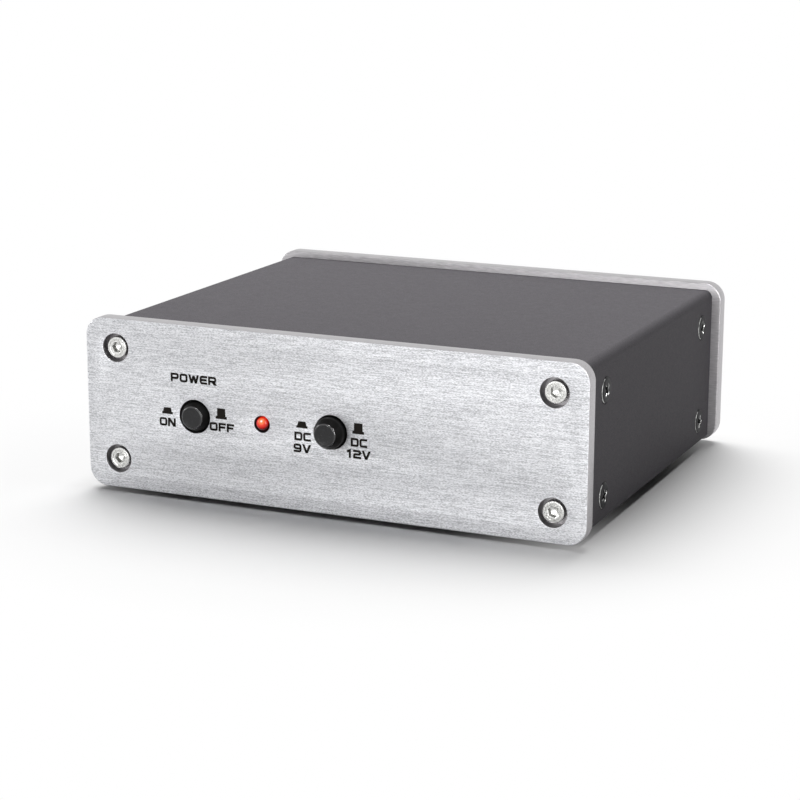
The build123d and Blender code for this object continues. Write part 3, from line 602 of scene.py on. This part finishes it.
def lamp_epoxy():
    """Red epoxy that glows round a point and goes dark towards glow_reach mm from it.

    Its white last stop is a painted highlight, and its near-black far side is painted shade.
    """
    mat = bpy.data.materials.new("Red epoxy")
    mat.use_nodes = True
    tree = mat.node_tree
    shader = tree.nodes["Principled BSDF"]
    place = tree.nodes.new("ShaderNodeTexCoord")
    mapping = tree.nodes.new("ShaderNodeMapping")
    mapping.inputs["Location"].default_value = tuple(-c / glow_reach for c in glow_and_highlight_centre)
    mapping.inputs["Scale"].default_value = (1000 / glow_reach,) * 3
    ball = tree.nodes.new("ShaderNodeTexGradient")
    ball.gradient_type = "SPHERICAL"
    tree.links.new(place.outputs["Object"], mapping.inputs["Vector"])
    tree.links.new(mapping.outputs["Vector"], ball.inputs["Vector"])
    share = ball.outputs["Fac"]
    glow = tree.nodes.new("ShaderNodeValToRGB")
    ramp = glow.color_ramp.elements
    for number, (position, colour) in enumerate(glow_highlight_and_shade_stops):
        stop = ramp[number] if number < 2 else ramp.new(position)
        stop.position = position
        stop.color = (*colour, 1)
    tree.links.new(share, glow.inputs["Fac"])
    tree.links.new(glow.outputs["Color"], shader.inputs["Emission Color"])
    tone = blend_colours(tree, share, (0.01, 0.0, 0.0), (0.3, 0.01, 0.005))
    tree.links.new(tone, shader.inputs["Base Color"])
    shader.inputs["Emission Strength"].default_value = 0.8
    shader.inputs["Roughness"].default_value = 0.06
    return mat


def lathe(tip, profile, steps):
    """A solid turned round the y axis through its front tip, from (radius, depth) steps."""
    bm = bmesh.new()
    row = [bm.verts.new(tip + Vector((radius, depth, 0))) for radius, depth in profile]
    edges = [bm.edges.new(pair) for pair in zip(row, row[1:])]
    bmesh.ops.spin(
        bm, geom=row + edges, cent=tip, axis=(0, 1, 0), angle=2 * math.pi, steps=steps,
        use_merge=True,
    )
    bmesh.ops.remove_doubles(bm, verts=bm.verts, dist=0.001)
    for face in bm.faces:
        face.smooth = True
    return bm


turns = [i / 10 * math.pi / 2 for i in range(11)]
dome = [(lamp_radius * math.sin(turn), lamp_radius * (1 - math.cos(turn))) for turn in turns]
foot = [
    (lamp_radius, lamp_end - 1), (flange_radius, lamp_end - 0.98),
    (flange_radius, lamp_end), (0, lamp_end),
]
bm = lathe(Vector((lamp_spot.x, lamp_low.y, lamp_spot.z)), dome + foot, 48)
make_piece(bm, "lamp_lens_look", [lamp_epoxy()], "chassis", "lamp_plastic", "lamp_lens")

# ------------------------------------------------------------------ push buttons
# Round glossy black caps pushed on to the switches' sliders. They taper towards a slightly
# dished face, whose polished rim catches the light; the flank is duller.
cap_flank = finish(
    "Cap flank", (0.004, 0.004, 0.004), (0.01, 0.009, 0.008), (0.3, 0.42), (0.3, 4, 0.3),
    specular=0.07, bump=0.08, depth=0.005,
)
cap_face = finish(
    "Cap face", (0.004, 0.004, 0.005), (0.009, 0.009, 0.011), (0.18, 0.28), (0.6, 0.6, 0.6),
    specular=0.43, bump=0.06, depth=0.005,
)
cap_rim = finish(
    "Cap rim", (0.004, 0.004, 0.005), (0.009, 0.009, 0.011), (0.2, 0.26), (0.6, 0.6, 0.6),
    coat=0.8, bump=0.03,
)
cap_face_radius = 2.1
cap_rim_depth = 0.2
cap_profile = [
    (0, 0.12), (1.2, 0.1), (1.9, 0.04), (cap_face_radius, 0.0), (2.21, 0.02), (2.3, 0.07),
    (2.38, 0.15), (2.46, 0.27), (3.04, 1.3), (3.12, 1.46), (3.18, 1.65), (3.2, 1.9), (3.2, 8.9),
    (3.05, 9.0), (0, 9.0),
]
for name in ("power", "voltage"):
    spot = middle(name + "_button")
    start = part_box(name + "_button")[0].y * 1000
    bm = lathe(Vector((spot.x, start, spot.z)), cap_profile, 96)
    for part in bm.faces:
        at = part.calc_center_median()
        if at.y - start < cap_rim_depth:
            on_face = math.hypot(at.x - spot.x, at.z - spot.z) < cap_face_radius
            part.material_index = 1 if on_face else 2
    mats = (cap_flank, cap_face, cap_rim)
    make_piece(bm, name + "_button_look", mats, name + "_push", "buttons", name + "_button")

# ------------------------------------------------------------------ lettering
# Black screen print on the front plate: wide squared letters and a small picture of each button
# position. The ink stands 0.02 mm proud of the metal.
ink = finish(
    "Black ink", (0.01, 0.007, 0.005), (0.018, 0.014, 0.011), (0.45, 0.6), (0.2, 0.2, 0.2),
    specular=0.1, bump=0.2, depth=0.004,
)
ink_height = 0.02
line_width = 0.46
letter_height = 1.8
letter_gap = 0.46
letter_round = 0.35
# Each letter's share of its word's width, and its strokes as points from 0 to 1 across and up.
# A third value rounds that corner.
letters = {
    "P": (1.0, [[(0, 0), (0, 1), (1, 1, 1), (1, 0.38, 1), (0, 0.38)]]),
    "O": (0.98, [[(0.5, 0), (0, 0, 1), (0, 1, 1), (1, 1, 1), (1, 0, 1), (0.5, 0)]]),
    "W": (1.4, [
        [(0, 1), (0.25, 0)], [(0.25, 0), (0.5, 0.85)],
        [(0.5, 0.85), (0.75, 0)], [(0.75, 0), (1, 1)],
    ]),
    "E": (0.9, [[(1, 1), (0, 1, 1), (0, 0, 1), (1, 0)], [(0, 0.5), (0.9, 0.5)]]),
    "R": (1.0, [[(0, 0), (0, 1), (1, 1, 1), (1, 0.4, 1), (0, 0.4)], [(0.5, 0.4), (1, 0)]]),
    "N": (1.0, [[(0, 0), (0, 1)], [(0, 1), (1, 0)], [(1, 0), (1, 1)]]),
    "F": (0.85, [[(0, 0), (0, 1), (1, 1)], [(0, 0.5), (0.85, 0.5)]]),
    "D": (1.0, [[(0, 0.5), (0, 0), (1, 0, 1), (1, 1, 1), (0, 1), (0, 0.5)]]),
    "C": (0.95, [[(1, 1), (0, 1, 1), (0, 0, 1), (1, 0)]]),
    "V": (1.15, [[(0, 1), (0.5, 0)], [(0.5, 0), (1, 1)]]),
    "9": (1.0, [[(0, 0), (1, 0, 1), (1, 1, 1), (0, 1, 1), (0, 0.42, 1), (1, 0.42)]]),
    "1": (0.6, [[(0, 0.84), (0.55, 1), (0.55, 0)]]),
    "2": (1.0, [[(0, 1), (1, 1, 1), (1, 0.5, 1), (0, 0.5, 1), (0, 0), (1, 0)]]),
}


def rounded_path(points, steps=4):
    """A line of points, with the corners rounded that have a third value."""
    flat = [Vector(point[:2]) for point in points]
    out = [points[0][:2]]
    for before, corner, after, given in zip(flat, flat[1:], flat[2:], points[1:]):
        if len(given) == 2:
            out.append(given)
            continue
        to_before = before - corner
        to_after = after - corner
        reach = min(letter_round, to_before.length / 2, to_after.length / 2)
        start = corner + to_before.normalized() * reach
        end = corner + to_after.normalized() * reach
        for i in range(steps + 1):
            t = i / steps
            out.append(tuple(start * (1 - t) ** 2 + corner * 2 * t * (1 - t) + end * t ** 2))
    return out + [points[-1][:2]]


def offsets(points, half):
    """Left and right edges of a line of the given half width, mitred at its corners."""
    sharpest_mitre = 0.45
    left, right = [], []
    for i, point in enumerate(points):
        here = Vector(point)
        ways = []
        if i:
            ways.append((here - Vector(points[i - 1])).normalized())
        if i < len(points) - 1:
            ways.append((Vector(points[i + 1]) - here).normalized())
        way = sum(ways, Vector((0, 0))).normalized()
        across = Vector((-way.y, way.x))
        stretch = half / max(sharpest_mitre, across.dot(Vector((-ways[0].y, ways[0].x))))
        left.append(tuple(here + across * stretch))
        right.append(tuple(here - across * stretch))
    return left, right


def ink_patch(bm, loop):
    """A flat closed patch of ink on the front plate."""
    def place(u, v, depth):
        return Vector((u, plate_low.y - depth, v))

    add_body(bm, place, [(loop, 0.0), (loop, ink_height)])


def ink_line(bm, points):
    """A line of ink of the letters' line width, as one patch for each straight piece.

    Its ends reach half a line width further; a single slanted stroke is cut off level.
    """
    half = line_width / 2
    (x, z), (x_end, z_end) = points[0], points[-1]
    if len(points) == 2 and x != x_end and z != z_end:
        rise = math.copysign(half, z_end - z)
        across = half * math.hypot(x_end - x, z_end - z) / abs(z_end - z)
        ink_patch(bm, [
            (x - across, z - rise), (x + across, z - rise),
            (x_end + across, z_end + rise), (x_end - across, z_end + rise),
        ])
        return
    for i, j in ((0, 1), (-1, -2)):
        end, inner = Vector(points[i]), Vector(points[j])
        points[i] = tuple(end + (end - inner).normalized() * half)
    left, right = offsets(points, half)
    for i in range(len(points) - 1):
        ink_patch(bm, [left[i], left[i + 1], right[i + 1], right[i]])


def word(bm, text, x, z, width):
    """Letters centred on x, z, spread to the given total width."""
    total = sum(letters[c][0] for c in text)
    unit = (width - line_width) / (total + letter_gap * (len(text) - 1))
    height = letter_height - line_width
    start = x - (width - line_width) / 2
    foot = z - height / 2
    for c in text:
        span, strokes = letters[c]
        for stroke in strokes:
            points = [(start + u * span * unit, foot + v * height, *turn) for u, v, *turn in stroke]
            ink_line(bm, rounded_path(points))
        start += (span + letter_gap) * unit


def picture(bm, x, z, pushed):
    """Small side view of a button, pushed in or standing out, on its base line."""
    if pushed:
        half = [(1.25, -0.62), (1.25, -0.18), (1.0, -0.1), (0.86, 0.6), (0.74, 0.74)]
    else:
        half = [(1.28, -1.1), (1.28, -0.62), (0.95, -0.46), (0.92, 1.12)]
    ink_patch(bm, [(x + u, z + v) for u, v in half] + [(x - u, z + v) for u, v in reversed(half)])


# Places in millimetres from the plate's lower left corner.
words = (
    ("POWER", 25.17, 24.95, 10.55), ("ON", 18.95, 15.35, 3.79), ("OFF", 31.55, 15.5, 5.65),
    ("DC", 49.85, 15.55, 3.7), ("9V", 49.75, 13.1, 3.9),
    ("DC", 62.25, 15.6, 3.6), ("12V", 62.2, 13.2, 5.2),
)
pictures = (
    (18.95, 17.65, True), (31.45, 18.3, False), (49.7, 17.9, True), (62.1, 18.45, False),
)
bm = bmesh.new()
for text, x, z, width in words:
    word(bm, text, plate_low.x + x, plate_low.z + z, width)
for x, z, pushed in pictures:
    picture(bm, plate_low.x + x, plate_low.z + z, pushed)
make_piece(bm, "front_lettering", [ink], "chassis", "buttons")

# ------------------------------------------------------------------ floor
# White matt table top that keeps the object's soft shadow. It fades into the white background
# between two distances in metres from a point near the object's middle.
fade_start, fade_end = 0.055, 0.117
floor_half = 2
white = bpy.data.materials.new("White table")
white.use_nodes = True
tree = white.node_tree
tree.nodes.clear()
table = tree.nodes.new("ShaderNodeBsdfDiffuse")
table.inputs["Color"].default_value = (0.78, 0.78, 0.78, 1)
glow = tree.nodes.new("ShaderNodeEmission")
place = tree.nodes.new("ShaderNodeTexCoord")
centre = tree.nodes.new("ShaderNodeMapping")
centre.inputs["Location"].default_value = (0.006, 0.0, 0.0)
far = tree.nodes.new("ShaderNodeVectorMath")
far.operation = "LENGTH"
fade = tree.nodes.new("ShaderNodeMapRange")
fade.interpolation_type = "SMOOTHSTEP"
fade.inputs["From Min"].default_value = fade_start
fade.inputs["From Max"].default_value = fade_end
mixed = tree.nodes.new("ShaderNodeMixShader")
result = tree.nodes.new("ShaderNodeOutputMaterial")
tree.links.new(place.outputs["Object"], centre.inputs["Vector"])
tree.links.new(centre.outputs["Vector"], far.inputs[0])
tree.links.new(far.outputs["Value"], fade.inputs["Value"])
tree.links.new(fade.outputs["Result"], mixed.inputs["Fac"])
tree.links.new(table.outputs["BSDF"], mixed.inputs[1])
tree.links.new(glow.outputs["Emission"], mixed.inputs[2])
tree.links.new(mixed.outputs["Shader"], result.inputs["Surface"])
bm = bmesh.new()
bmesh.ops.create_grid(bm, x_segments=1, y_segments=1, size=floor_half)
floor_mesh = bpy.data.meshes.new("floor")
bm.to_mesh(floor_mesh)
bm.free()
floor_mesh.materials.append(white)
floor = bpy.data.objects.new("floor", floor_mesh)
bpy.context.scene.collection.objects.link(floor)

# ------------------------------------------------------------------ light
# A studio with white surroundings: a large soft light overhead, behind and to the left of the
# object, and a weak one low in front. Four small ones are seen by glossy surfaces only: three
# put glints on edges, and one near the front plate brightens its middle.
world = bpy.data.worlds.new("Studio")
bpy.context.scene.world = world
world.use_nodes = True
tree = world.node_tree
tree.nodes.clear()
seen = tree.nodes.new("ShaderNodeBackground")
seen.inputs["Color"].default_value = (1, 1, 1, 1)
around = tree.nodes.new("ShaderNodeBackground")
around.inputs["Color"].default_value = (1, 1, 1, 1)
around.inputs["Strength"].default_value = 0.0
rays = tree.nodes.new("ShaderNodeLightPath")
switch = tree.nodes.new("ShaderNodeMixShader")
result = tree.nodes.new("ShaderNodeOutputWorld")
shown = rays.outputs["Is Camera Ray"]
for kind in ("Is Glossy Ray", "Is Transmission Ray"):
    either = tree.nodes.new("ShaderNodeMath")
    either.operation = "MAXIMUM"
    tree.links.new(shown, either.inputs[0])
    tree.links.new(rays.outputs[kind], either.inputs[1])
    shown = either.outputs["Value"]
tree.links.new(shown, switch.inputs["Fac"])
tree.links.new(around.outputs["Background"], switch.inputs[1])
tree.links.new(seen.outputs["Background"], switch.inputs[2])
tree.links.new(switch.outputs["Shader"], result.inputs["Surface"])


def soft_light(name, where, target, width, height, power, spread=True, mirrored=True):
    """A rectangular soft light at a place, turned towards a target.

    spread: it lights matt surfaces; mirrored: glossy surfaces show it.
    """
    light = bpy.data.lights.new(name, "AREA")
    light.shape = "RECTANGLE"
    light.size = width
    light.size_y = height
    light.energy = power
    lamp = bpy.data.objects.new(name, light)
    lamp.location = where
    lamp.rotation_euler = (Vector(target) - Vector(where)).to_track_quat("-Z", "Y").to_euler()
    lamp.visible_camera = False
    lamp.visible_diffuse = spread
    lamp.visible_glossy = mirrored
    bpy.context.scene.collection.objects.link(lamp)


soft_light("overhead", (-0.46, 0.78, 1.2), (-0.46, 0.78, 0), 1.4, 1.4, 42, mirrored=False)
soft_light("front", (0.1, -1.5, 0.1), (0, 0, 0.02), 0.8, 0.12, 3)
soft_light("right_glint", (0.78, -0.46, 0.42), (0, 0, 0.02), 0.03, 0.8, 6, spread=False)
soft_light("top_glint", (0.15, -0.4, 1.1), (0, 0, 0.02), 0.14, 0.14, 4.5, spread=False)
soft_light("left_glint", (-1.0, -0.25, 0.35), (0, 0, 0.02), 0.12, 0.3, 1.8, spread=False)
soft_light("near_glint", (-0.12, -0.4, 0.05), (0, -0.05, 0.02), 0.02, 0.06, 0.07, spread=False)

# ------------------------------------------------------------------ camera
# A long lens that looks at the object from 24 degrees to the right of its front plate and from
# 14 degrees above the table.
camera_data = bpy.data.cameras.new("camera")
camera_data.lens = 98.77
camera_data.sensor_width = 36
camera_data.clip_start = 0.01
camera = bpy.data.objects.new("camera", camera_data)
azimuth, elevation, roll = (math.radians(angle) for angle in (23.917, 13.639, 0.149))
camera.matrix_world = (
    Matrix.Translation((0.184579, -0.429163, 0.126849))
    @ Matrix.Rotation(azimuth, 4, "Z")
    @ Matrix.Rotation(math.pi / 2 - elevation, 4, "X")
    @ Matrix.Rotation(roll, 4, "Z")
)
bpy.context.scene.collection.objects.link(camera)
bpy.context.scene.camera = camera
bpy.context.scene.view_settings.view_transform = "Standard"
